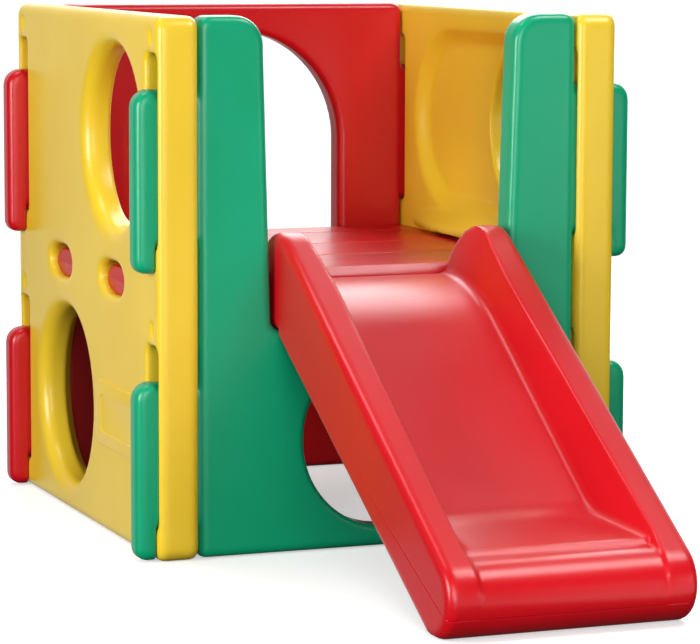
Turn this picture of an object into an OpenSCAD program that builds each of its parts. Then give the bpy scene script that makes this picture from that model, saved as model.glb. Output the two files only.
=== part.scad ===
/* [Side walls] */
// Height of the side walls
wall_h = 860; // [840:5:900]
// Depth of the side walls, front to back
wall_d = 818; // [800:2:860]
// Thickness of a side wall along its edges
wall_t = 68; // [64:1:74]
// Clear width between the two side walls
clear_w = 652; // [630:2:690]
// Corner radius of a side wall seen from the side
wall_corner_r = 22; // [18:1:30]
// Rounding along the upright edges of a side wall
edge_r = 14; // [11:1:16]
// Rounding along the top and bottom edges of a side wall
top_r = 20; // [16:1:22]

/* [Crawl holes] */
// Radius of the round holes in the side walls
hole_r = 150; // [140:1:152]
// Rounding of a hole's rim
rim_r = 10; // [6:1:12]
// Upper hole, distance from the front edge
upper_hole_y = 252; // [240:1:262]
// Upper hole, its centre below the wall's top
upper_hole_drop = 203; // [196:1:210]
// Lower hole, distance from the front edge
lower_hole_y = 525; // [515:1:535]
// Lower hole, height of its centre
lower_hole_z = 198; // [192:1:206]
// Depth of the sunk field on the inner face
field_depth = 20; // [14:1:22]
// Length of the sunk field between its two round ends
field_run = 283; // [260:1:300]

/* [Ledges] */
// How far a ledge stands out of the inner face
ledge_out = 34; // [24:1:44]
// Length of a ledge along the wall
ledge_len = 514; // [480:2:530]
// Middle of a ledge, distance from the front edge
ledge_y = 447; // [440:1:455]
// Height of a ledge's slope
ledge_h = 58; // [50:1:60]
// Gap between a ledge and the deck
ledge_gap = 7; // [4:1:10]

/* [Hooks] */
// How far a hook stands out of a side wall
hook_reach = 32; // [28:1:40]
// Seat of the upper hooks, below the walls' top
upper_seat_drop = 364; // [360:1:370]
// Height of an upper hook's neck
upper_neck = 250; // [240:1:254]
// How far an upper hook's toe hangs below its seat
upper_toe = 38; // [30:1:46]
// Seat height of the lower hooks
lower_seat_z = 50; // [48:1:56]
// Height of a lower hook's neck
lower_neck = 236; // [225:1:242]
// How far a lower hook's toe hangs below its seat
lower_toe = 47; // [40:1:47]
// How far a hooked panel lifts to come free
lift = 50; // [48:1:54]
// How far a hook's neck stands in from its panel's inner face
neck_in = 3; // [2:0.5:5]
// Rounding of a hook
hook_r = 15; // [12:1:18]
// Rounding of a hook's ends seen from the side
hook_end_r = 22; // [20:1:24]
// Plastic between a hook slot and the wall's edge
strip_t = 12; // [11:1:14]
// Length of the dimple above each slot
dimple_len = 36; // [30:1:38]
// Depth of the dimple
dimple_depth = 3; // [2:0.5:3.5]

/* [Panels] */
// Thickness of the front and rear panels
panel_t = 55; // [50:1:58]
// How far the panels stand back from the walls' edges
panel_in = 8; // [6:1:10]
// Rounding along the panels' edges
panel_r = 12; // [9:1:14]
// Rounding of the panels' upper corners
panel_corner_r = 20; // [16:1:24]
// Width of the doorway at its top
door_top_w = 432; // [426:2:450]
// Width of the doorway at its sill
door_sill_w = 404; // [402:2:420]
// Height of the doorway's sill
sill_z = 362; // [356:1:364]
// Corner radius at the top of the doorway's posts
post_corner_r = 46; // [36:1:50]
// Radius of the crawl hole in the front panel
front_hole_r = 148; // [136:1:150]
// Height of that hole's centre
front_hole_z = 182; // [176:1:186]
// Radius of the rear panel's arch
arch_r = 200; // [180:1:215]
// Height of the rear panel above its arch
arch_head = 50; // [40:1:60]

/* [Deck] */
// Height of the deck's top
deck_z = 450; // [444:1:452]
// Thickness of the deck
deck_t = 54; // [50:1:56]
// Pitch of the plank grooves
plank_pitch = 187; // [170:1:200]
// Width of a plank groove
groove_w = 7; // [5:1:9]
// Length of a deck tab along the wall
tab_len = 122; // [100:1:130]
// Height of a deck tab
tab_h = 48; // [40:1:49]
// Corner radius of a deck tab's end
tab_r = 22; // [14:1:23]
// How far a deck tab's end stays inside the wall's outer face
tab_in = 12; // [6:1:16]
// Front tab, distance from the walls' front edge
front_tab_y = 255; // [245:1:265]
// Distance between the two tabs of a side
tab_pitch = 296; // [280:1:310]
// Width of the deck's nose between the rails
nose_w = 304; // [280:2:310]
// Depth of the nose's sloping front
nose_slope = 12; // [8:1:16]

/* [Chute] */
// Overall width of the chute
chute_w = 394; // [370:2:400]
// How far the chute reaches ahead of the side walls
chute_reach = 697; // [660:1:740]
// Radius of the chute's round foot
foot_r = 59; // [54:1:64]
// Radius of the rails' round upper end
hump_r = 75; // [66:1:80]
// Height of the rails' upper end
hump_z = 518; // [510:1:526]
// Width of a rail's top
rail_w = 50; // [44:1:56]
// Height of the bed where it leaves the deck
crest_z = 434; // [428:1:440]
// Slope of the bed in degrees
bed_a = 34; // [33:0.25:34.5]
// Radius of the bed's crest
crest_r = 200; // [160:5:220]
// Where the slope starts, ahead of the walls
crest_out = 35; // [28:1:42]
// Where the run-out starts, ahead of the walls
run_out = 480; // [470:1:484]
// Slope of the run-out in degrees
run_a = 5.5; // [4:0.25:6.5]
// Rounding along the bed's sides
bed_r = 25; // [18:1:30]
// How far the front lip is sunk between the rails
lip_sink = 4; // [3:0.5:6]
// Depth of the hook that drops behind the sill
catch_drop = 38; // [30:1:44]
// Thickness of that hook
catch_t = 22; // [18:1:24]

/* [Fits] */
// Room beside a panel, each side
side_gap = 1.5; // [1:0.25:2.5]
// Room between a hook's toe and the wall
toe_gap = 0.8; // [0.6:0.1:1.5]
// Room in front of a hook's neck
neck_gap = 0.6; // [0.5:0.1:1]
// Room behind a hook's neck
neck_play = 7; // [3:0.5:8]
// Room above a hook when its panel is lifted
lift_gap = 6; // [3:1:8]
// Room beside a deck tab in its slot, and half the room above it
tab_gap = 4; // [3:0.5:6]
// Room around the deck
deck_gap = 1; // [0.6:0.1:2]
// Room around the chute's upper end
chute_gap = 2; // [1:0.25:3]
// Room under the panels
floor_gap = 2; // [1:0.5:4]

/* [Label plate] */
// Length of the plain raised plate
plate_len = 240; // [200:2:250]
// Height of the plate
plate_h = 104; // [80:2:120]
// How far the plate stands out
plate_out = 2.5; // [1.5:0.5:4]

/* [Hidden] */
$fn = 64;
crease = 0.4;
tuck = 0.2;
big = 2000;
past = 40;
plate_r = 16;
field_past = 35;
neck_root = 30;
neck_past = 12;
notch_gap = 4;
nose_flare = 6;
heel_back = 25;
under_drop = 11;
rail_foot = 21;
lip_back = 18;
trough_h = 300;
trough_pinch = 3;
crest_side = 8;
crest_cap = 30;
crest_over = 3;
lip_low = 12;
lip_past = 10;
lip_run = 100;
ledge_lip = 6;
catch_root = 10;
sill_past = 5;
wall_x = clear_w / 2;
outer_x = wall_x + wall_t;
panel_x = wall_x - side_gap;
row_y = (chute_reach - wall_d) / 2;
hook_y0 = strip_t + neck_gap;
hook_y1 = panel_in + panel_t - neck_in;
slot_y0 = strip_t;
slot_y1 = hook_y1 + neck_play;
slot_r = 16;
dimple_r = 12;
dimple_up = 8;
slot_room = lift + lift_gap;
hook_rows = [
    [wall_h - upper_seat_drop, upper_neck, upper_toe],
    [lower_seat_z, lower_neck, lower_toe]];
upper_hole_z = wall_h - upper_hole_drop;
lower_field_y = lower_hole_y - field_run + field_past;
arch_z = wall_h - arch_head - arch_r;
arch_low = deck_z - deck_t / 2;
field_floor = wall_t - field_depth;
ledge_z = deck_z + ledge_gap;
tab_zc = deck_z - deck_t / 2;
tab_ys = [front_tab_y, front_tab_y + tab_pitch];
plate_y = (lower_hole_y - hole_r - rim_r + slot_y1) / 2;
deck_y0 = panel_in + panel_t + deck_gap + 2;
deck_y1 = wall_d - panel_in - panel_t - deck_gap;
chute_back = panel_in + panel_t + chute_gap + catch_t + 1;
hump_y = chute_back - hump_r;
nose_y = chute_back + chute_gap;
notch_y = nose_y + notch_gap;
hump_c = hump_z - hump_r;
foot_y = foot_r - chute_reach;
rail_dy = hump_y - foot_y;
rail_dz = hump_c - foot_r;
rail_a = atan(rail_dz / rail_dy) + asin((hump_r - foot_r) / sqrt(rail_dy * rail_dy + rail_dz * rail_dz));
heel_y = foot_y + heel_back;
butt_y = panel_in - chute_gap;
under_z = sill_z - under_drop;
bed_half = chute_w / 2 - rail_w - rail_foot;
draft = 0.3;
run_y = -run_out;
run_z = crest_z - (run_out - crest_out) * tan(bed_a);
crest_top = crest_r * tan(bed_a / 2) - crest_out;
lip_y = foot_y + lip_back;
lip_rise = run_z - (run_y - lip_y) * tan(run_a) - crest_z - (crest_out + lip_y) * tan(bed_a);
lip_half = bed_half + draft * cos(bed_a) * lip_rise + 2;

// Rectangle with round corners
module soft_rect(x0, y0, x1, y1, r) {
    translate([x0 + r, y0]) square([x1 - x0 - 2 * r, y1 - y0]);
    translate([x0, y0 + r]) square([x1 - x0, y1 - y0 - 2 * r]);
    for (x = [x0 + r, x1 - r], y = [y0 + r, y1 - r]) translate([x, y]) circle(r);
}

// Outline in X and Y carried along Z
module up(z0, z1) translate([0, 0, z0]) linear_extrude(z1 - z0) children();

// Outline in Y and Z carried along X
module across(x0, x1) translate([x0, 0, 0]) rotate([90, 0, 90]) linear_extrude(x1 - x0) children();

// Outline in X and Z carried along Y
module along(y0, y1) translate([0, y1, 0]) rotate([90, 0, 0]) linear_extrude(y1 - y0) children();

// Round hole through a panel of thickness t with a soft rim on both faces
module soft_bore(r, t, rim) {
    rotate_extrude() {
        translate([0, -1]) square([r, t + 2]);
        for (s = [0, 1]) translate([0, s * t]) mirror([0, s]) difference() {
            translate([0, -1]) square([r + rim, rim + 1]);
            translate([r + rim, rim - crease]) circle(rim);
            translate([r, rim - crease]) square([2 * rim, rim]);
        }
    }
}

// Two round ends joined by straight sides, seen from the side
module field_shape(y0, z, r, run) {
    translate([y0, z]) circle(r);
    translate([y0 + run, z]) circle(r);
    translate([y0, z - r]) square([run, 2 * r]);
}

// Body of a side wall
module wall_block() {
    intersection() {
        up(0, wall_h) soft_rect(0, 0, wall_t, wall_d, edge_r);
        across(-1, wall_t + 1) soft_rect(-crease, -crease, wall_d + crease, wall_h + crease, wall_corner_r);
        along(-1, wall_d + 1) soft_rect(-crease, -crease, wall_t + crease, wall_h + crease, top_r);
    }
}

// Slots for the hooks and the deck's tabs
module wall_slots() {
    for (m = [0, 1]) translate([0, m * wall_d, 0]) mirror([0, m, 0]) for (h = hook_rows)
        across(-1, wall_t + 1) soft_rect(slot_y0, h[0], slot_y1, h[0] + h[1] + slot_room, slot_r);
    for (y = tab_ys) across(-1, wall_t + 1) soft_rect(
        y - tab_len / 2 - tab_gap, tab_zc - tab_h / 2,
        y + tab_len / 2 + tab_gap, tab_zc + tab_h / 2 + 2 * tab_gap, tab_r + tab_gap);
}

// Small dimple above each hook slot
module dimples() {
    for (m = [0, 1], h = hook_rows) translate([0, m * wall_d, 0]) mirror([0, m, 0])
        translate([
            dimple_depth - dimple_r, (slot_y0 + slot_y1) / 2,
            h[0] + h[1] + slot_room + dimple_up + dimple_r]) {
            cylinder(r = dimple_r, h = dimple_len - 2 * dimple_r);
            sphere(dimple_r);
            translate([0, 0, dimple_len - 2 * dimple_r]) sphere(dimple_r);
        }
}

// Ledge on the inner face of a side wall, bowed along its length
module ledge() {
    bow_r = (ledge_len * ledge_len / 4 + ledge_out * ledge_out) / (2 * ledge_out);
    intersection() {
        translate([wall_t + ledge_out - bow_r, ledge_y, ledge_z]) cylinder(r = bow_r, h = ledge_h, $fn = 128);
        translate([field_floor + 2, ledge_y - ledge_len / 2, ledge_z])
            cube([field_depth + ledge_out, ledge_len, ledge_h]);
        along(0, wall_d) polygon([
            [field_floor - 1, ledge_z], [wall_t + ledge_out + 1, ledge_z],
            [wall_t + ledge_out + 1, ledge_z + ledge_lip], [field_floor - 1, ledge_z + ledge_h]]);
    }
}

// One side wall, outer face at x = 0
module side_wall() {
    difference() {
        union() {
            difference() {
                wall_block();
                across(field_floor, wall_t + 1) field_shape(upper_hole_y, upper_hole_z, hole_r, field_run);
                across(field_floor, wall_t + 1) field_shape(lower_field_y, lower_hole_z, hole_r, field_run);
            }
            ledge();
            across(-plate_out, 1) soft_rect(
                plate_y - plate_len / 2, lower_hole_z - plate_h / 2,
                plate_y + plate_len / 2, lower_hole_z + plate_h / 2, plate_r);
        }
        wall_slots();
        dimples();
        translate([0, upper_hole_y, upper_hole_z]) rotate([0, 90, 0]) soft_bore(hole_r, wall_t, rim_r);
        translate([0, lower_hole_y, lower_hole_z]) rotate([0, 90, 0]) soft_bore(hole_r, wall_t, rim_r);
    }
}

// Hooks down one side of the front panel
module hooks() {
    for (h = hook_rows) {
        toe_x = outer_x + toe_gap;
        toe_end = outer_x + hook_reach;
        low = h[0] - h[2];
        high = h[0] + h[1];
        across(panel_x - neck_root, outer_x + neck_past) soft_rect(hook_y0, h[0], hook_y1, high, hook_end_r);
        intersection() {
            across(toe_x, toe_end + 1) soft_rect(hook_y0, low, hook_y1, high, hook_end_r);
            up(low - 1, high + 1)
                soft_rect(toe_x - 2 * hook_r, hook_y0 - crease, toe_end, hook_y1 + crease, hook_r);
            along(0, hook_y1 + past)
                soft_rect(toe_x - 2 * hook_r, low - crease, toe_end + crease, high + crease, hook_end_r);
        }
    }
}

// Rounding cut for a straight edge of length l
module edge_cut(l, r) difference() {
    translate([-1, -1, 0]) cube([r + 1 - crease, r + 1 - crease, l]);
    translate([r - crease, r - crease, -1]) cylinder(r = r, h = l + 2);
}

// Panel with rounded outer edges, outline given as children
module panel() {
    intersection() {
        up(floor_gap, wall_h) soft_rect(-panel_x, panel_in, panel_x, panel_in + panel_t, panel_r);
        across(-panel_x - 1, panel_x + 1) soft_rect(
            panel_in - crease, floor_gap - crease,
            panel_in + panel_t + crease, wall_h + crease, panel_r);
        along(0, panel_in + panel_t + 1) children();
    }
}

// Outline of the front panel with its doorway
module door_outline() {
    slant = (door_top_w - door_sill_w) / 2 / (wall_h - sill_z);
    difference() {
        soft_rect(-panel_x, floor_gap - crease, panel_x, wall_h + crease, panel_corner_r);
        polygon([
            [-door_sill_w / 2, sill_z], [door_sill_w / 2, sill_z],
            [door_top_w / 2 + past * slant, wall_h + past], [-door_top_w / 2 - past * slant, wall_h + past]]);
        for (m = [0, 1]) mirror([m, 0]) translate([door_top_w / 2, wall_h]) difference() {
            translate([-1 - post_corner_r * abs(slant), -post_corner_r])
                square([post_corner_r, post_corner_r + 1]);
            translate([post_corner_r - crease, -post_corner_r]) circle(post_corner_r);
            translate([post_corner_r - crease, -post_corner_r]) square([post_corner_r, post_corner_r + 2]);
        }
    }
}

// Soft edges along the doorway's posts
module door_edges() {
    slant = atan((door_top_w - door_sill_w) / 2 / (wall_h - sill_z));
    for (m = [0, 1], f = [0, 1]) mirror([m, 0, 0])
        translate([door_sill_w / 2, panel_in + f * panel_t, sill_z - sill_past])
            mirror([0, f, 0]) rotate([0, slant, 0]) edge_cut(wall_h - sill_z + past, panel_r);
}

// Outline of the rear panel with its arch
module arch_outline() {
    difference() {
        soft_rect(-panel_x, floor_gap - crease, panel_x, wall_h + crease, panel_corner_r);
        translate([0, arch_z]) circle(arch_r);
        translate([-arch_r, arch_low]) square([2 * arch_r, arch_z - arch_low]);
    }
}

// Soft rim along the arch
module arch_edges() {
    intersection() {
        translate([0, panel_in + panel_t, arch_z]) rotate([90, 0, 0]) soft_bore(arch_r, panel_t, panel_r);
        translate([-big / 2, 0, arch_z]) cube(big);
    }
    for (m = [0, 1], f = [0, 1]) mirror([m, 0, 0])
        translate([arch_r, panel_in + f * panel_t, arch_low]) mirror([0, f, 0])
            edge_cut(arch_z - arch_low, panel_r);
}

// Side shape of the chute
module chute_side() {
    translate([hump_y, hump_c]) circle(hump_r);
    translate([foot_y, foot_r]) circle(foot_r);
    polygon([
        [hump_y - (hump_r - tuck) * sin(rail_a), hump_c + (hump_r - tuck) * cos(rail_a)],
        [foot_y - (foot_r - tuck) * sin(rail_a), foot_r + (foot_r - tuck) * cos(rail_a)],
        [foot_y, tuck], [heel_y, tuck],
        [butt_y, under_z], [butt_y, sill_z],
        [chute_back - tuck, sill_z], [chute_back - tuck, hump_c]]);
}

// Cross-section of the trough, narrowed by n on each side
module trough_section(n = 0) {
    half = bed_half - n;
    lean = atan(draft);
    run = bed_r * tan((90 - lean) / 2);
    polygon([
        [-half + run, 0], [half - run, 0],
        [half + run * sin(lean), run * cos(lean)], [half + draft * trough_h, trough_h],
        [-half - draft * trough_h, trough_h], [-half - run * sin(lean), run * cos(lean)]]);
    for (s = [-1, 1]) translate([s * (half - run), bed_r]) circle(bed_r + tuck);
}

// Trough of the chute: crest, slope, run-out and the sunk front lip
module trough() {
    along(-crest_out - 1.5 * past, chute_back + past) translate([0, crest_z]) trough_section(trough_pinch);
    intersection() {
        translate([0, -crest_out, crest_z]) rotate([90 + bed_a, 0, 0]) translate([0, 0, -1.5 * past])
            linear_extrude(big) trough_section();
        translate([0, run_y, run_z]) rotate([run_a, 0, 0]) translate([-big / 2, -big / 2, 0]) cube(big);
    }
    across(-bed_half + bed_r + crest_side, bed_half - bed_r - crest_side) difference() {
        polygon([
            [crest_top + crest_over, crest_z + crest_over], [-crest_out, crest_z + crest_cap],
            [crest_top - (crest_r + crest_over) * sin(bed_a),
            crest_z - crest_r + (crest_r + crest_over) * cos(bed_a)]]);
        translate([crest_top, crest_z - crest_r + crease]) circle(crest_r, $fn = 128);
    }
    across(-lip_half, lip_half) difference() {
        translate([-chute_reach - lip_past, foot_r - lip_low])
            square([lip_y + chute_reach + lip_past, 2 * foot_r]);
        translate([foot_y, foot_r]) circle(foot_r - lip_sink);
        translate([foot_y, 0]) square([lip_run, 2 * foot_r - lip_sink]);
    }
}

module left_wall() color("gold") translate([-outer_x, row_y, 0]) side_wall();

module right_wall() color("gold") mirror([1, 0, 0]) translate([-outer_x, row_y, 0]) side_wall();

module front_wall() color("seagreen") translate([0, row_y, 0]) difference() {
    union() {
        panel() door_outline();
        for (m = [0, 1]) mirror([m, 0, 0]) hooks();
    }
    door_edges();
    translate([0, panel_in, front_hole_z]) rotate([-90, 0, 0]) soft_bore(front_hole_r, panel_t, rim_r);
}

module rear_wall() color("firebrick") translate([0, row_y + wall_d, 0]) mirror([0, 1, 0]) difference() {
    union() {
        panel() arch_outline();
        for (m = [0, 1]) mirror([m, 0, 0]) hooks();
    }
    arch_edges();
}

module platform() color("crimson") translate([0, row_y, 0]) {
    deck_x = wall_x - deck_gap;
    half_notch = chute_w / 2 + chute_gap + notch_gap;
    difference() {
        union() {
            difference() {
                translate([-deck_x, deck_y0, deck_z - deck_t]) cube([2 * deck_x, deck_y1 - deck_y0, deck_t]);
                translate([-half_notch, 0, 0]) cube([2 * half_notch, notch_y, big]);
            }
            up(deck_z - deck_t, deck_z) polygon([
                [-nose_w / 2 - nose_flare, notch_y + 1], [-nose_w / 2, nose_y],
                [nose_w / 2, nose_y], [nose_w / 2 + nose_flare, notch_y + 1]]);
            for (y = tab_ys) across(-outer_x + tab_in, outer_x - tab_in)
                soft_rect(y - tab_len / 2, tab_zc - tab_h / 2, y + tab_len / 2, tab_zc + tab_h / 2, tab_r);
        }
        across(-nose_w / 2 - nose_flare / 2, nose_w / 2 + nose_flare / 2) polygon([
            [nose_y - 1, crest_z], [nose_y, crest_z], [nose_y + nose_slope, deck_z],
            [nose_y + nose_slope, deck_z + 1], [nose_y - 1, deck_z + 1]]);
        for (i = [1 : 3]) translate([-big / 2, notch_y + i * plank_pitch, deck_z + groove_w / 4])
            rotate([0, 90, 0]) cylinder(r = groove_w / 2, h = big);
    }
}

module chute() color("red") translate([0, row_y, 0]) difference() {
    union() {
        across(-chute_w / 2, chute_w / 2) chute_side();
        translate([-bed_half, chute_back - catch_t, sill_z - catch_drop])
            cube([2 * bed_half, catch_t, catch_drop + catch_root]);
    }
    trough();
}

left_wall();
right_wall();
front_wall();
rear_wall();
platform();
chute();
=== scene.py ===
import math

import bpy
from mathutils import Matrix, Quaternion, Vector


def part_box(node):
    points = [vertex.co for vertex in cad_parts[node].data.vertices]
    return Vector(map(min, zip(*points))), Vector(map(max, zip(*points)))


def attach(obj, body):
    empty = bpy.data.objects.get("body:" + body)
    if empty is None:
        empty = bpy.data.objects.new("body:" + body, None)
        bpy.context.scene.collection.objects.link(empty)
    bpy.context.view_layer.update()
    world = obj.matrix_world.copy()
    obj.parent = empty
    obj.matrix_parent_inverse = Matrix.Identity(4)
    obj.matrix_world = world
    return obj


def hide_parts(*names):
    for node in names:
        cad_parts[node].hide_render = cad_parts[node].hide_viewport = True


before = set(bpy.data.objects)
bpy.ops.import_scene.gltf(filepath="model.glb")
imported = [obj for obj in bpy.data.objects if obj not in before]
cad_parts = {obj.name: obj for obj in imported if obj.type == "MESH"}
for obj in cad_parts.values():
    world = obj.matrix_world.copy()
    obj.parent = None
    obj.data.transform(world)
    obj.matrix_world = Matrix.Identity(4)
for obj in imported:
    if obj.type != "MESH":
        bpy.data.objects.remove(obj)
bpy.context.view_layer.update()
print("frame loaded")


# small tools for working by hand

def clearSelection():
    for item in bpy.context.selected_objects:
        item.select_set(False)


def pickOnly(piece):
    clearSelection()
    piece.select_set(True)
    bpy.context.view_layer.objects.active = piece


def applyModifier(piece, kind, **settings):
    modifier = piece.modifiers.new(kind.lower(), kind)
    for key, value in settings.items():
        setattr(modifier, key, value)
    pickOnly(piece)
    bpy.ops.object.modifier_apply(modifier=modifier.name)


def cutWith(piece, *tools):
    for tool in tools:
        applyModifier(piece, "BOOLEAN", operation="DIFFERENCE", solver="EXACT", object=tool)
        bpy.data.objects.remove(tool)


def fuseWith(piece, *others):
    for other in others:
        applyModifier(piece, "BOOLEAN", operation="UNION", solver="EXACT", object=other)
        bpy.data.objects.remove(other)


def faceOutwards():
    # works on the piece that is picked
    bpy.ops.object.mode_set(mode="EDIT")
    bpy.ops.mesh.select_all(action="SELECT")
    bpy.ops.mesh.normals_make_consistent(inside=False)
    bpy.ops.object.mode_set(mode="OBJECT")


def softenPiece(piece, cell, passes):
    applyModifier(piece, "REMESH", mode="VOXEL", voxel_size=cell)  # one skin, as it leaves the mould
    applyModifier(piece, "SMOOTH", factor=0.5, iterations=passes)
    pickOnly(piece)
    bpy.ops.object.shade_smooth()
    print(piece.name, "skinned,", len(piece.data.polygons), "faces")


def shadeByAngle(piece, degrees):
    pickOnly(piece)
    bpy.ops.object.shade_smooth_by_angle(angle=math.radians(degrees))


# outlines are lists of (u, v) points, shapes give an outline for an inset,
# and rings are outlines set in space

def arcPoints(centre, radius, start, stop, count=8):
    turns = [math.radians(start + (stop - start) * k / count) for k in range(count + 1)]
    return [(centre[0] + radius * math.cos(t), centre[1] + radius * math.sin(t)) for t in turns]


def circlePoints(centre, radius, count=96):
    return arcPoints(centre, radius, 0, 360, count)[:-1]


def roundedOutline(corners, inset=0.0, count=7, leastBend=0.0008):
    # corners are ((u, v), radius) anticlockwise, and a positive inset draws the outline in
    points = []
    total = len(corners)
    for k, (here, radius) in enumerate(corners):
        here = Vector(here)
        inward = (here - Vector(corners[k - 1][0])).normalized()
        outward = (Vector(corners[(k + 1) % total][0]) - here).normalized()
        turn = math.atan2(inward.x * outward.y - inward.y * outward.x, inward.dot(outward))
        across = Vector((-inward.y, inward.x))
        corner = here + across * inset + inward * (-inset * math.tan(turn / 2))
        bend = max(radius - math.copysign(inset, turn), leastBend)
        middle = corner - inward * (bend * math.tan(abs(turn) / 2)) + across * math.copysign(bend, turn)
        first = math.degrees(math.atan2(-across.y, -across.x)) + (0 if turn > 0 else 180)
        points += arcPoints(middle, bend, first, first + math.degrees(turn), count)
    return points


def softShape(corners, count=7):
    return lambda inset=0.0: roundedOutline(corners, inset, count)


def softRect(low, high, radius):
    spots = [(low[0], low[1]), (high[0], low[1]), (high[0], high[1]), (low[0], high[1])]
    return softShape([(spot, radius) for spot in spots])


def roundHole(centre, radius):
    return lambda inset=0.0: circlePoints(centre, radius - inset)


def ovalRect(low, high, reach, count=20):
    # straight in the middle, with long round ends
    middle = (low[1] + high[1]) / 2

    def outline(inset=0.0):
        tall, bow = (high[1] - low[1]) / 2 - inset, reach - inset
        points = []
        for edge, side, start in ((high[0] - inset, -1, -90), (low[0] + inset, 1, 90)):
            ends = arcPoints((0, 0), 1, start, start + 180, count)
            points += [(edge + side * bow + u * bow, middle + v * tall) for u, v in ends]
        return points
    return outline


def setRing(outline, axis, place):
    if axis == "X":
        return [(place, u, v) for u, v in outline]
    if axis == "Y":
        return [(u, place, v) for u, v in outline]
    return [(u, v, place) for u, v in outline]


def edgeRound(radius, steps=5):
    # (depth, inset) pairs round a quarter turn, from the face to the side
    turns = [math.radians(90 * k / steps) for k in range(steps + 1)]
    return [(radius * (1 - math.cos(t)), radius * (1 - math.sin(t))) for t in turns]


def extrudeRings(name, rings):
    # a filled circle is shaped to the first ring, then its face is extruded from ring to ring
    clearSelection()
    bpy.ops.mesh.primitive_circle_add(vertices=len(rings[0]), fill_type="NGON")
    piece = bpy.context.object
    piece.name = name
    for vertex, spot in zip(piece.data.vertices, rings[0]):
        vertex.co = spot
    for before, ring in zip(rings, rings[1:]):
        bpy.ops.object.mode_set(mode="EDIT")
        bpy.ops.mesh.select_mode(type="FACE")
        bpy.ops.mesh.extrude_region_move()
        bpy.ops.object.mode_set(mode="OBJECT")
        old = [Vector(spot) for spot in before]
        for vertex in [v for v in piece.data.vertices if v.select]:
            nearest = min(range(len(old)), key=lambda k: (old[k] - vertex.co).length_squared)
            vertex.co = ring[nearest]
    faceOutwards()
    return piece


def softPlate(name, shape, axis, low, high, edge):
    rings = [setRing(shape(inset), axis, low + depth) for depth, inset in edgeRound(edge)]
    rings += [setRing(shape(inset), axis, high - depth) for depth, inset in reversed(edgeRound(edge))]
    return extrudeRings(name, rings)


def softHole(name, shape, axis, low, high, lowRim, highRim, past=0.02):
    # a tool that cuts right through and leaves round rims
    rings = [setRing(shape(-lowRim), axis, low - past)]
    rings += [setRing(shape(-inset), axis, low + depth) for depth, inset in edgeRound(lowRim)]
    rings += [setRing(shape(-inset), axis, high - depth) for depth, inset in reversed(edgeRound(highRim))]
    rings += [setRing(shape(-highRim), axis, high + past)]
    return extrudeRings(name, rings)


def straightBar(name, outline, axis, low, high):
    return extrudeRings(name, [setRing(outline, axis, place) for place in (low, high)])


def plainBlock(name, low, high, corner=0.001):
    return straightBar(name, softRect(low[:2], high[:2], corner)(), "Z", low[2], high[2])


# side walls

wallSpec = {
    "thick": 0.068,
    "corner": 0.022,
    "edge": 0.013,
    "holeRadius": 0.150,
    "outerRim": 0.022,
    "innerRim": 0.006,
    "borePast": 0.03,                # how far the bore's tool runs out on both sides
    "upperHole": (0.252, 0.657),     # from the front edge, height
    "lowerHole": (0.525, 0.198),
    "fieldDepth": 0.020,
    "fieldRun": 0.283,
    "fieldSlope": 0.034,
    "fieldSteps": 8,
    "fieldArc": 24,
    "fieldPast": 0.02,
    "lowerFieldShift": -0.248,
    "slot": (0.012, 0.067),          # from the wall's edge
    "slots": ((0.496, 0.802), (0.050, 0.342)),  # seat, top
    "slotRound": 0.016,
    "slotRim": 0.004,
    "dimple": (0.012, 0.036, 0.005),  # radius, length, depth
    "dimpleGap": 0.008,              # above its slot
    "tabSlots": (0.255, 0.551),      # middles, from the front edge
    "tabSlot": (0.130, 0.056),       # width, height
    "tabSlotLow": 0.399,
    "tabSlotRound": 0.050,
    "tabSlotRims": (0.010, 0.004),   # outside, inside
    "ledge": (0.447, 0.514, 0.034, 0.058),  # middle, length, reach, height
    "ledgeLow": 0.457,
    "ledgeLip": 0.010,
    "ledgeRoot": 0.004,              # into the floor of the sunk field
    "ledgeSteps": 14,
    "plate": (0.216, 0.240, 0.106, 0.0025),  # middle, length, height, rise
    "plateCorner": 0.016,
    "plateRoot": 0.006,
    "plateEdge": 0.001,
    "plateFrame": (0.026, 0.020, 0.0012),    # inset along, inset up, sink
    "frameCorner": 0.010,
    "frameEdge": 0.0008,
    "framePast": 0.01,
    "crease": 48,                    # steeper edges stay sharp, degrees
    "cell": 0.0042,
    "passes": 3,
}


def sunkField(name, start, height, spec, floorX, faceX):
    # two round ends and straight sides, with a soft slope down to the floor
    def outline(grow):
        radius = spec["holeRadius"] + grow
        back = arcPoints((start + spec["fieldRun"], height), radius, -90, 90, spec["fieldArc"])
        front = arcPoints((start, height), radius, 90, 270, spec["fieldArc"])
        return back + front
    slope, steps = spec["fieldSlope"], spec["fieldSteps"]
    rings = [setRing(outline(slope / 2), "X", faceX + spec["fieldPast"])]
    for k in range(steps + 1):
        share = k / steps
        drop = (1 - math.cos(math.pi * share)) / 2
        rings.append(setRing(outline(slope * (0.5 - share)), "X", faceX + (floorX - faceX) * drop))
    return extrudeRings(name, rings)


def bowedLedge(spec, faceX, frontY):
    middle, length, reach, height = spec["ledge"]
    low, steps = spec["ledgeLow"], spec["ledgeSteps"]
    root = faceX - spec["fieldDepth"] - spec["ledgeRoot"]
    rings = []
    for k in range(steps + 1):
        share = 2 * k / steps - 1
        out = faceX + reach * (1 - share * share)
        section = [(root, low), (out, low), (out, low + spec["ledgeLip"]), (root, low + height)]
        rings.append(setRing(section, "Y", frontY + middle + share * length / 2))
    return extrudeRings("ledge", rings)


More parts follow.
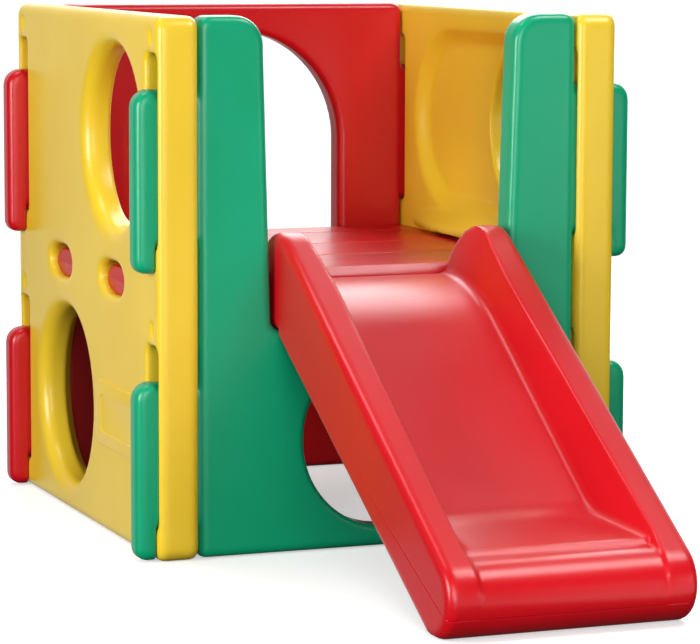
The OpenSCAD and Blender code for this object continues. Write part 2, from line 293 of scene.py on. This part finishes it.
def dimpleTool(spec, outerX, y, low):
    radius, length, depth = spec["dimple"]
    clearSelection()
    bpy.ops.mesh.primitive_uv_sphere_add(segments=24, ring_count=12, radius=radius, location=(0, 0, 0))
    tool = bpy.context.object
    for vertex in tool.data.vertices:
        vertex.co.x += outerX + depth - radius
        vertex.co.y += y
        vertex.co.z += low + radius + (length - 2 * radius if vertex.co.z > 0 else 0)
    return tool


def cutFields(wall, spec, frontY, floorX, innerX):
    upperY, upperZ = spec["upperHole"]
    lowerY, lowerZ = spec["lowerHole"]
    cutWith(wall, sunkField("upperField", frontY + upperY, upperZ, spec, floorX, innerX))
    start = frontY + lowerY + spec["lowerFieldShift"]
    cutWith(wall, sunkField("lowerField", start, lowerZ, spec, floorX, innerX))


def cutBores(wall, spec, frontY, outerX, floorX):
    for y, z in (spec["upperHole"], spec["lowerHole"]):
        bore = roundHole((frontY + y, z), spec["holeRadius"])
        cutWith(wall, softHole("bore", bore, "X", outerX, floorX,
                               spec["outerRim"], spec["innerRim"], spec["borePast"]))


def cutHookSlots(wall, spec, frontY, backY, outerX, innerX):
    rim = spec["slotRim"]
    rearSlot = [backY - frontY - s for s in reversed(spec["slot"])]
    for seat, top in spec["slots"]:
        for start, stop in (spec["slot"], rearSlot):
            window = softRect((frontY + start, seat), (frontY + stop, top), spec["slotRound"])
            cutWith(wall, softHole("slot", window, "X", outerX, innerX, rim, rim))
            cutWith(wall, dimpleTool(spec, outerX, frontY + (start + stop) / 2, top + spec["dimpleGap"]))


def cutTabSlots(wall, spec, frontY, outerX, innerX):
    width, height = spec["tabSlot"]
    outerRim, innerRim = spec["tabSlotRims"]
    bottom = spec["tabSlotLow"]
    for y in spec["tabSlots"]:
        start, stop = frontY + y - width / 2, frontY + y + width / 2
        window = ovalRect((start, bottom), (stop, bottom + height), spec["tabSlotRound"])
        cutWith(wall, softHole("tabSlot", window, "X", outerX, innerX, outerRim, innerRim))


def addPlate(wall, spec, frontY, outerX):
    middle, length, height, rise = spec["plate"]
    level = spec["lowerHole"][1]
    start, stop = frontY + middle - length / 2, frontY + middle + length / 2
    bottom, top = level - height / 2, level + height / 2
    faceX = outerX - rise
    shape = softRect((start, bottom), (stop, top), spec["plateCorner"])
    fuseWith(wall, softPlate("plate", shape, "X", faceX, outerX + spec["plateRoot"], spec["plateEdge"]))
    along, up, sink = spec["plateFrame"]
    shape = softRect((start + along, bottom + up), (stop - along, top - up), spec["frameCorner"])
    cutWith(wall, softPlate("frame", shape, "X", faceX - spec["framePast"], faceX + sink, spec["frameEdge"]))


def makeWall(name, spec):
    low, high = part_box("left_wall")
    outerX = low.x + spec["plate"][3]
    innerX = outerX + spec["thick"]
    floorX = innerX - spec["fieldDepth"]
    frontY, backY = low.y, high.y
    shape = softRect((frontY, low.z), (backY, high.z), spec["corner"])
    wall = softPlate(name, shape, "X", outerX, innerX, spec["edge"])
    cutFields(wall, spec, frontY, floorX, innerX)
    fuseWith(wall, bowedLedge(spec, innerX, frontY))
    cutBores(wall, spec, frontY, outerX, floorX)
    cutHookSlots(wall, spec, frontY, backY, outerX, innerX)
    cutTabSlots(wall, spec, frontY, outerX, innerX)
    softenPiece(wall, spec["cell"], spec["passes"])
    addPlate(wall, spec, frontY, outerX)
    shadeByAngle(wall, spec["crease"])
    return wall


leftWall = makeWall("left_wall_moulding", wallSpec)


def mirrorPiece(piece, name):
    twin = piece.copy()
    twin.data = piece.data.copy()
    twin.name = name
    bpy.context.scene.collection.objects.link(twin)
    pickOnly(twin)
    twin.scale.x = -1
    bpy.ops.object.transform_apply(location=True, rotation=True, scale=True)
    faceOutwards()
    return twin


rightWall = mirrorPiece(leftWall, "right_wall_moulding")
print("side walls made")


# front and rear panels with their hooks

panelSpec = {
    "half": 0.3245,
    "edge": 0.012,
    "topCorner": 0.020,
    "footCorner": 0.012,
    "doorTop": 0.432,
    "doorSill": 0.404,
    "doorCorner": 0.016,
    "sill": 0.362,
    "postCorner": 0.046,
    "hole": (0.182, 0.148),          # height, radius
    "holeRim": 0.005,
    "arch": (0.610, 0.200, 0.423),   # spring height, radius, bottom
    "archCorner": 0.02,
    "archArc": 40,
    "cell": 0.0038,
    "passes": 3,
}
hookSpec = {
    "wallX": 0.394,
    "reach": 0.032,
    "toeGap": 0.0008,
    "rows": ((0.496, 0.746, 0.458), (0.050, 0.286, 0.003)),  # seat, top, toe's end
    "span": (0.0046, 0.052),         # from the panel's outer face
    "topRound": 0.028,
    "footRound": 0.018,
    "edge": 0.013,
    "neckRound": 0.022,
    "neckRoot": 0.03,                # into the panel
    "neckOut": 0.014,                # past the wall's face
    "neckEdge": 0.002,
    "toeRoot": 0.02,                 # behind the wall's face, trimmed off again
    "toeCorner": 0.002,
    "trim": (0.06, 0.01),            # how deep and how far over the toe
}


def addHooks(panel, spec, faceY, inward):
    near, far = sorted(faceY + inward * s for s in spec["span"])
    deep, over = spec["trim"]
    for side in (-1, 1):
        wall, tip = side * spec["wallX"], side * (spec["wallX"] + spec["reach"])
        root, end = side * (panelSpec["half"] - spec["neckRoot"]), side * (spec["wallX"] + spec["neckOut"])
        inner = wall - side * spec["toeRoot"]
        for seat, top, bottom in spec["rows"]:
            start, stop = sorted((root, end))
            neckShape = softRect((near, seat), (far, top), spec["neckRound"])
            fuseWith(panel, softPlate("neck", neckShape, "X", start, stop, spec["neckEdge"]))
            corners = [((inner, bottom), spec["toeCorner"]), ((tip, bottom), spec["footRound"]),
                       ((tip, top), spec["topRound"]), ((inner, top), spec["toeCorner"])]
            if side < 0:
                corners.reverse()
            toe = softPlate("toe", softShape(corners), "Y", near, far, spec["edge"])
            start, stop = sorted((wall - side * deep, wall + side * spec["toeGap"]))
            cutWith(toe, plainBlock("trim", (start, near - over, bottom - over),
                                    (stop, far + over, top + over)))
            fuseWith(panel, toe)


def makeFrontPanel(name, spec):
    low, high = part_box("front_wall")
    half, doorHalf, sillHalf = spec["half"], spec["doorTop"] / 2, spec["doorSill"] / 2
    corners = [((-half, low.z), spec["footCorner"]), ((half, low.z), spec["footCorner"]),
               ((half, high.z), spec["topCorner"]), ((doorHalf, high.z), spec["postCorner"]),
               ((sillHalf, spec["sill"]), spec["doorCorner"]),
               ((-sillHalf, spec["sill"]), spec["doorCorner"]),
               ((-doorHalf, high.z), spec["postCorner"]), ((-half, high.z), spec["topCorner"])]
    panel = softPlate(name, softShape(corners), "Y", low.y, high.y, spec["edge"])
    height, radius = spec["hole"]
    rim = spec["holeRim"]
    cutWith(panel, softHole("crawlHole", roundHole((0, height), radius), "Y", low.y, high.y, rim, rim))
    addHooks(panel, hookSpec, low.y, 1)
    softenPiece(panel, spec["cell"], spec["passes"])
    return panel


def archOutline(spec, inset):
    spring, radius, bottom = spec["arch"]
    radius, bottom, corner = radius - inset, bottom + inset, spec["archCorner"]
    left = arcPoints((corner - radius, bottom + corner), corner, 180, 270)
    right = arcPoints((radius - corner, bottom + corner), corner, 270, 360)
    return left + right + arcPoints((0, spring), radius, 0, 180, spec["archArc"])


def makeRearPanel(name, spec):
    low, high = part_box("rear_wall")
    half = spec["half"]
    corners = [((-half, low.z), spec["footCorner"]), ((half, low.z), spec["footCorner"]),
               ((half, high.z), spec["topCorner"]), ((-half, high.z), spec["topCorner"])]
    panel = softPlate(name, softShape(corners), "Y", low.y, high.y, spec["edge"])
    cutWith(panel, softHole("arch", lambda inset: archOutline(spec, inset),
                            "Y", low.y, high.y, spec["edge"], spec["edge"]))
    addHooks(panel, hookSpec, high.y, -1)
    softenPiece(panel, spec["cell"], spec["passes"])
    return panel


frontPanel = makeFrontPanel("front_panel_moulding", panelSpec)
rearPanel = makeRearPanel("rear_panel_moulding", panelSpec)
print("panels made")


# deck with plank grooves

deckSpec = {
    "half": 0.325,
    "front": 0.0055,
    "back": 0.6935,
    "edge": 0.004,
    "corner": 0.006,
    "cornerSteps": 3,
    "notch": (0.203, 0.0335),        # half width, depth reached
    "notchTool": (-0.1, 0, 1),       # front, bottom and top of the cut
    "nose": (0.152, 0.158, 0.0295, 0.434, 0.012),  # half width in front and behind, front, its top, slope
    "noseRoot": 0.004,
    "noseFoot": 0.002,               # above the deck's underside
    "noseSkin": 0.0002,              # below the deck's top
    "wedgePast": (0.01, 0.003),      # in front and above, at the sides
    "grooves": 3,
    "pitch": 0.187,
    "groove": (0.0065, 0.0045),      # width, depth
    "grooveRounds": (0.002, 0.001),  # shoulders, bottom
    "tabs": (0.1945, 0.4905),
    "tab": (0.122, 0.048, 0.382),    # length, height, reach
    "tabRoot": 0.30,
    "tabBow": 0.046,
    "tabEdge": 0.006,
    "seam": (0.050, 0.0010, 0.0008),  # half length, half height, rise
    "seamRoot": 0.02,
    "crease": 40,                    # steeper edges stay sharp, degrees
}


def deckSide(spec, bottom, top):
    # corners of the side view, anticlockwise in (y, z)
    front, back, corner = spec["front"], spec["back"], spec["corner"]
    width, depth = spec["groove"]
    shoulder, valley = spec["grooveRounds"]
    corners = [((front, bottom), corner), ((back, bottom), corner), ((back, top), corner)]
    for k in range(spec["grooves"], 0, -1):
        middle = spec["notch"][1] + k * spec["pitch"]
        corners += [((middle + width / 2, top), shoulder), ((middle, top - depth), valley),
                    ((middle - width / 2, top), shoulder)]
    return corners + [((front, top), corner)]


def addNose(deck, spec, bottom, top):
    narrow, wide, start, lip, back = spec["nose"]
    root = spec["notch"][1] + spec["noseRoot"]
    shape = [(-narrow, start), (narrow, start), (wide, root), (-wide, root)]
    fuseWith(deck, straightBar("nose", shape, "Z", bottom + spec["noseFoot"], top - spec["noseSkin"]))
    past, beside = spec["wedgePast"]
    wedge = [(start - past, lip), (start, lip), (start + back, top),
             (start + back, top + past), (start - past, top + past)]
    cutWith(deck, straightBar("wedge", wedge, "X", -narrow - beside, narrow + beside))


def addTabs(deck, spec, middle):
    length, height, reach = spec["tab"]
    run, thick, rise = spec["seam"]
    bottom, top = middle - height / 2, middle + height / 2
    for y in spec["tabs"]:
        shape = ovalRect((y - length / 2, bottom), (y + length / 2, top), spec["tabBow"])
        for side in (-1, 1):
            start, stop = sorted((side * spec["tabRoot"], side * reach))
            fuseWith(deck, softPlate("tab", shape, "X", start, stop, spec["tabEdge"]))
            start, stop = sorted((side * (reach - spec["seamRoot"]), side * (reach + rise)))
            fuseWith(deck, plainBlock("seam", (start, y - run, middle - thick),
                                      (stop, y + run, middle + thick)))


def makeDeck(name, spec):
    low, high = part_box("platform")
    bottom, top = low.z, high.z
    shape = softShape(deckSide(spec, bottom, top), spec["cornerSteps"])
    deck = softPlate(name, shape, "X", -spec["half"], spec["half"], spec["edge"])
    half, reached = spec["notch"]
    toolFront, toolLow, toolHigh = spec["notchTool"]
    cutWith(deck, plainBlock("notch", (-half, toolFront, toolLow), (half, reached, toolHigh)))
    addNose(deck, spec, bottom, top)
    addTabs(deck, spec, (bottom + top) / 2)
    shadeByAngle(deck, spec["crease"])
    print(deck.name, len(deck.data.polygons), "faces")
    return deck


deck = makeDeck("deck_moulding", deckSpec)
print("deck made")


# chute

chuteSpec = {
    "half": 0.197,
    "edge": 0.014,
    "back": 0.088,                   # lengths along y are from the walls' front edge
    "humpTop": 0.518,
    "humpRound": 0.075,
    "reach": 0.697,
    "footRound": 0.059,
    "heel": -0.613,
    "heelRound": 0.02,
    "butt": 0.006,
    "buttRound": 0.006,
    "under": 0.351,
    "sill": 0.362,
    "sillRounds": (0.003, 0.008),    # in front, behind
    "cornerSteps": 16,
    "catch": (0.126, 0.022, 0.038),  # half width, thickness, drop
    "catchRoot": 0.01,
    "crest": 0.434,
    "crestRound": 0.340,
    "crestOut": 0.035,
    "crestSteps": 24,
    "slope": 34,
    "runOut": 0.480,
    "runSlope": 5.5,
    "runRound": 0.110,
    "runSteps": 16,
    "bedPast": (0.12, 0.26),         # behind the crest, beyond the knee
    "bedHalf": 0.126,
    "bedRound": 0.016,
    "lean": 0.30,                    # how far the trough's sides lean out
    "troughHigh": 0.30,
    "troughCorner": 0.002,
    "lipSink": 0.007,
    "lipHalf": 0.148,
    "lipStart": (80, 76),            # on the skin and outside it, degrees round the foot
    "lipFade": 235,                  # where the sunk lip runs out, degrees round the foot
    "lipSteps": 32,
    "lipPast": 0.03,
    "seamHigh": 0.035,
    "seamSlope": 24.2,
    "seamStart": 0.008,
    "seamStop": -0.40,
    "seamFront": (0.010, 0.07),      # depth and height of the foot's front
    "seamSide": 0.006,
    "seam": (0.0012, 0.0007),        # half width, depth
    "cell": 0.0038,
    "passes": 2,
}


def chuteSide(spec, frontY):
    # corners of the side view, anticlockwise in (y, z)
    humpY, humpZ = spec["back"] - spec["humpRound"], spec["humpTop"] - spec["humpRound"]
    footY, footZ = spec["footRound"] - spec["reach"], spec["footRound"]
    run, rise = humpY - footY, humpZ - footZ
    angle = math.atan2(rise, run) + math.asin((spec["humpRound"] - spec["footRound"]) / math.hypot(run, rise))
    touchY = humpY - spec["humpRound"] * math.sin(angle)
    touchZ = humpZ + spec["humpRound"] * math.cos(angle)
    tipZ = touchZ + (spec["back"] - touchY) * math.tan(angle)
    toeY = touchY - touchZ / math.tan(angle)
    sillFront, sillBack = spec["sillRounds"]
    corners = [((toeY, 0), spec["footRound"]), ((spec["heel"], 0), spec["heelRound"]),
               ((spec["butt"], spec["under"]), spec["buttRound"]),
               ((spec["butt"], spec["sill"]), sillFront), ((spec["back"], spec["sill"]), sillBack),
               ((spec["back"], tipZ), spec["humpRound"])]
    return [((frontY + y, z), radius) for (y, z), radius in corners]


def bedStations(spec):
    # points along the bed from the deck to the foot: place, normal, half width
    slope, runSlope = math.radians(spec["slope"]), math.radians(spec["runSlope"])
    behind, beyond = spec["bedPast"]
    top = spec["crestRound"] * math.tan(slope / 2) - spec["crestOut"]
    centre = Vector((top, spec["crest"] - spec["crestRound"]))
    stations = [(Vector((behind, spec["crest"])), Vector((0, 1)), spec["bedHalf"])]
    for k in range(spec["crestSteps"] + 1):
        turn = slope * k / spec["crestSteps"]
        normal = Vector((-math.sin(turn), math.cos(turn)))
        stations.append((centre + normal * spec["crestRound"], normal, spec["bedHalf"]))
    normal = Vector((-math.sin(slope), math.cos(slope)))
    knee = Vector((-spec["runOut"], spec["crest"] - (spec["runOut"] - spec["crestOut"]) * math.tan(slope)))
    back = spec["runRound"] * math.tan((slope - runSlope) / 2)
    start = knee + Vector((math.cos(slope), math.sin(slope))) * back
    middle = start + normal * spec["runRound"]
    spots = []
    for k in range(spec["runSteps"] + 1):
        turn = slope + (runSlope - slope) * k / spec["runSteps"]
        spots.append(middle + Vector((math.sin(turn), -math.cos(turn))) * spec["runRound"])
    spots.append(knee + Vector((-1, -math.tan(runSlope))) * beyond)
    for spot in spots:
        rise = (spot - start).dot(normal)
        stations.append((spot, normal, spec["bedHalf"] + spec["lean"] * rise))
    return stations


def troughTool(spec, frontY):
    high, corner = spec["troughHigh"], spec["troughCorner"]
    spread = spec["lean"] * high
    rings = []
    for spot, normal, half in bedStations(spec):
        shape = roundedOutline([((-half, 0), spec["bedRound"]), ((half, 0), spec["bedRound"]),
                                ((half + spread, high), corner), ((-half - spread, high), corner)])
        rings.append([(u, frontY + spot.x + normal.x * v, spot.y + normal.y * v) for u, v in shape])
    return extrudeRings("trough", rings)


def lipTool(spec, frontY):
    footY, footZ = frontY + spec["footRound"] - spec["reach"], spec["footRound"]
    fade, half = math.radians(spec["lipFade"]), spec["lipSink"] / 2
    middle = (footY + half * math.cos(fade), footZ + half * math.sin(fade))
    onSkin, outside = spec["lipStart"]
    near = arcPoints(middle, spec["footRound"] - half, onSkin, spec["lipFade"], spec["lipSteps"])
    far = arcPoints((footY, footZ), spec["footRound"] + spec["lipPast"],
                    spec["lipFade"], outside, spec["lipSteps"])
    return straightBar("lip", near + far, "X", -spec["lipHalf"], spec["lipHalf"])


def scoreSeam(piece, spec, spot, normal, wanted):
    # three cuts through the chosen faces, the middle one pressed in
    width, depth = spec["seam"]
    for shift in (-width, width, 0):
        bpy.ops.object.mode_set(mode="OBJECT")
        for face in piece.data.polygons:
            face.select = wanted(face.center)
        bpy.ops.object.mode_set(mode="EDIT")
        bpy.ops.mesh.bisect(plane_co=spot + normal * shift, plane_no=normal)
    bpy.ops.transform.shrink_fatten(value=-depth)
    bpy.ops.object.mode_set(mode="OBJECT")


def addSeams(chute, spec, frontY):
    pickOnly(chute)
    bpy.ops.object.mode_set(mode="EDIT")
    bpy.ops.mesh.select_mode(type="FACE")
    toe, high = frontY - spec["reach"], spec["seamHigh"]
    deep, tall = spec["seamFront"]
    side, stop = spec["half"] - spec["seamSide"], frontY + spec["seamStop"]
    scoreSeam(chute, spec, Vector((0, toe, high)), Vector((0, 0, 1)),
              lambda at: at.y < toe + deep and at.z < tall)
    slope = math.radians(spec["seamSlope"])
    scoreSeam(chute, spec, Vector((0, toe + spec["seamStart"], high)),
              Vector((0, -math.sin(slope), math.cos(slope))),
              lambda at: abs(at.x) > side and toe + deep < at.y < stop)


def makeChute(name, spec):
    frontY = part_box("left_wall")[0].y
    shape = softShape(chuteSide(spec, frontY), spec["cornerSteps"])
    chute = softPlate(name, shape, "X", -spec["half"], spec["half"], spec["edge"])
    cutWith(chute, troughTool(spec, frontY), lipTool(spec, frontY))
    half, thick, drop = spec["catch"]
    back, sill = frontY + spec["back"], spec["sill"]
    fuseWith(chute, plainBlock("catch", (-half, back - thick, sill - drop),
                               (half, back, sill + spec["catchRoot"])))
    softenPiece(chute, spec["cell"], spec["passes"])
    addSeams(chute, spec, frontY)
    return chute


chute = makeChute("chute_moulding", chuteSpec)
print("chute made")


# plastics

plasticSpec = {
    "yellow_plastic": {"base": (239, 204, 54), "deep": (229, 191, 40)},
    "green_plastic": {"base": (4, 164, 117), "deep": (2, 151, 104)},
    "red_plastic": {"base": (200, 12, 26), "deep": (190, 9, 21)},
    "mottle": (3.2, 3),              # each noise has a scale and a detail
    "mottleEdges": (0.2, 0.8),
    "gloss": (13.75, 4),
    "roughness": (0.28, 0.35),
    "peel": (55, 2),
    "peelBump": (0.12, 0.0015),      # strength, distance
    "grain": (520, 2),
    "grainBump": (0.06, 0.0005),
}


def fromScreen(colour):
    # screen values, 0 to 255, made linear
    return [((c / 255 + 0.055) / 1.055) ** 2.4 if c > 10 else c / 255 / 12.92 for c in colour] + [1]


def makePlastic(name, spec):
    material = bpy.data.materials.new(name)
    material.use_nodes = True
    nodes, links = material.node_tree.nodes, material.node_tree.links
    shader = nodes["Principled BSDF"]
    where = nodes.new("ShaderNodeTexCoord")

    def noise(scale, detail):
        node = nodes.new("ShaderNodeTexNoise")
        node.inputs["Scale"].default_value = scale
        node.inputs["Detail"].default_value = detail
        links.new(where.outputs["Object"], node.inputs["Vector"])
        return node.outputs["Fac"]

    def bump(height, strength, distance):
        node = nodes.new("ShaderNodeBump")
        node.inputs["Strength"].default_value = strength
        node.inputs["Distance"].default_value = distance
        links.new(height, node.inputs["Height"])
        return node

    tone = nodes.new("ShaderNodeValToRGB")  # slow drift of the pigment
    tone.color_ramp.interpolation = "EASE"
    for stop, place, shade in zip(tone.color_ramp.elements, spec["mottleEdges"], ("deep", "base")):
        stop.position = place
        stop.color = fromScreen(spec[name][shade])
    links.new(noise(*spec["mottle"]), tone.inputs["Fac"])
    links.new(tone.outputs["Color"], shader.inputs["Base Color"])
    gloss = nodes.new("ShaderNodeMapRange")
    gloss.inputs["To Min"].default_value, gloss.inputs["To Max"].default_value = spec["roughness"]
    links.new(noise(*spec["gloss"]), gloss.inputs["Value"])
    links.new(gloss.outputs["Result"], shader.inputs["Roughness"])
    peel = bump(noise(*spec["peel"]), *spec["peelBump"])     # slow waves of the moulded skin
    grain = bump(noise(*spec["grain"]), *spec["grainBump"])  # fine grain of the mould
    links.new(peel.outputs["Normal"], grain.inputs["Normal"])
    links.new(grain.outputs["Normal"], shader.inputs["Normal"])
    return material


def dress(piece, plastic, body, node):
    piece.data.materials.clear()
    piece.data.materials.append(plastics[plastic])
    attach(piece, body)
    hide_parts(node)


plasticNames = ("yellow_plastic", "green_plastic", "red_plastic")
plastics = {name: makePlastic(name, plasticSpec) for name in plasticNames}
dress(leftWall, "yellow_plastic", "frame", "left_wall")
dress(rightWall, "yellow_plastic", "frame", "right_wall")
dress(deck, "red_plastic", "frame", "platform")
dress(frontPanel, "green_plastic", "front_panel", "front_wall")
dress(rearPanel, "red_plastic", "rear_panel", "rear_wall")
dress(chute, "red_plastic", "slide", "chute")
print("plastics on")


# studio

studioSpec = {
    "floor": 40,
    "floorTone": (0.80, 0.80, 0.80, 1),
    "floorRough": 0.9,
    "floorGlow": (0.50, 0.95),       # near the gym and far from it
    "floorFade": (1.2, 6.0),
    "white": (1, 1, 1, 1),
    "paperWhite": 1.05,              # the paper behind the gym
    "dimRoom": 0.04,                 # the dark room behind the camera
    "paperEdges": (("X", -0.68, 0.05), ("Y", 0.10, 0.60), ("Z", -0.50, -0.20)),
    "fillOnly": ("foot",),           # lights that leave no highlight
    "lights": (
        {"name": "front", "place": (-1.2, -3.6, 1.2), "aim": (0.0, 0.0, 0.4), "size": 2.2, "power": 58},
        {"name": "left", "place": (-3.2, -1.0, 1.05), "aim": (0.0, 0.2, 0.4), "size": 1.6, "power": 96},
        {"name": "top", "place": (1.15, -1.15, 2.8), "aim": (0.0, -0.2, 0.3), "size": 1.2, "power": 42},
        {"name": "over", "place": (-1.0, 0.5, 3.0), "aim": (0.0, 0.0, 0.4), "size": 0.9, "power": 14},
        {"name": "crest", "place": (1.22, 2.38, 2.44), "aim": (0.0, -0.1, 0.45), "size": 2.6, "power": 92},
        {"name": "right", "place": (1.9, -3.0, 0.45), "aim": (0.2, 0.0, 0.5), "size": 1.0, "power": 6},
        {"name": "foot", "place": (-0.3, -1.7, 0.15), "aim": (0.0, -0.7, 0.1), "size": 0.5, "power": 4.5},
        {"name": "sheen", "place": (0.2, -1.2, 0.02), "aim": (0.2, -1.2, 1.0), "size": 0.8, "power": 1.6},
    ),
}


def makeFloor(spec):
    clearSelection()
    bpy.ops.mesh.primitive_plane_add(size=spec["floor"])
    floor = bpy.context.object
    floor.name = "studio_floor"
    paper = bpy.data.materials.new("studio_paper")
    paper.use_nodes = True
    nodes, links = paper.node_tree.nodes, paper.node_tree.links
    shader = nodes["Principled BSDF"]
    shader.inputs["Base Color"].default_value = spec["floorTone"]
    shader.inputs["Roughness"].default_value = spec["floorRough"]
    shader.inputs["Emission Color"].default_value = spec["white"]
    where = nodes.new("ShaderNodeTexCoord")
    away = nodes.new("ShaderNodeVectorMath")
    away.operation = "LENGTH"
    glow = nodes.new("ShaderNodeMapRange")
    glow.inputs["From Min"].default_value, glow.inputs["From Max"].default_value = spec["floorFade"]
    glow.inputs["To Min"].default_value, glow.inputs["To Max"].default_value = spec["floorGlow"]
    links.new(where.outputs["Object"], away.inputs[0])
    links.new(away.outputs["Value"], glow.inputs["Value"])
    links.new(glow.outputs["Result"], shader.inputs["Emission Strength"])
    floor.data.materials.append(paper)
    floor.visible_diffuse = False    # the paper shows white without washing out the plastics
    floor.visible_glossy = False


def makeRoom(spec):
    # white where the paper hangs, fading to the dim room along each axis
    world = bpy.data.worlds.new("studio_room")
    bpy.context.scene.world = world
    world.use_nodes = True
    nodes, links = world.node_tree.nodes, world.node_tree.links
    where = nodes.new("ShaderNodeTexCoord")
    parts = nodes.new("ShaderNodeSeparateXYZ")
    links.new(where.outputs["Generated"], parts.inputs["Vector"])
    share = None
    for axis, start, stop in spec["paperEdges"]:
        fade = nodes.new("ShaderNodeMapRange")
        fade.interpolation_type = "SMOOTHSTEP"
        fade.inputs["From Min"].default_value = start
        fade.inputs["From Max"].default_value = stop
        links.new(parts.outputs[axis], fade.inputs["Value"])
        if share is not None:
            links.new(share, fade.inputs["To Max"])
        share = fade.outputs["Result"]
    level = nodes.new("ShaderNodeMapRange")
    level.inputs["To Min"].default_value = spec["dimRoom"]
    level.inputs["To Max"].default_value = spec["paperWhite"]
    links.new(share, level.inputs["Value"])
    links.new(level.outputs["Result"], nodes["Background"].inputs["Strength"])
    nodes["Background"].inputs["Color"].default_value = spec["white"]


def makeLight(spec, fillOnly):
    bpy.ops.object.light_add(type="AREA", location=spec["place"])
    light = bpy.context.object
    light.name = spec["name"]
    light.data.shape = "DISK"
    light.data.size = spec["size"]
    light.data.energy = spec["power"]
    light.visible_camera = False
    light.visible_glossy = spec["name"] not in fillOnly
    light.rotation_mode = "QUATERNION"
    light.rotation_quaternion = (Vector(spec["aim"]) - Vector(spec["place"])).to_track_quat("-Z", "Y")


makeFloor(studioSpec)
makeRoom(studioSpec)
for lightSpec in studioSpec["lights"]:
    makeLight(lightSpec, studioSpec["fillOnly"])
bpy.context.scene.view_settings.view_transform = "Standard"
print("studio lit")


# camera at the photograph's angle

cameraSpec = {
    "place": (-1.9007, -4.7265, 0.9965),
    "yaw": 21.384,
    "pitch": 7.109,
    "roll": 0.213,
    "lens": 162.55,
    "sensor": 36,
    "sees": 100,
}


def makeCamera(spec):
    yaw, pitch = math.radians(spec["yaw"]), math.radians(spec["pitch"])
    ahead = Vector((math.sin(yaw) * math.cos(pitch), math.cos(yaw) * math.cos(pitch), -math.sin(pitch)))
    roll = Quaternion((0, 0, 1), math.radians(spec["roll"]))
    bpy.ops.object.camera_add(location=spec["place"])
    camera = bpy.context.object
    camera.rotation_mode = "QUATERNION"
    camera.rotation_quaternion = ahead.to_track_quat("-Z", "Y") @ roll
    camera.data.lens = spec["lens"]
    camera.data.sensor_width = spec["sensor"]
    camera.data.clip_end = spec["sees"]
    bpy.context.scene.camera = camera


makeCamera(cameraSpec)
print("camera set")
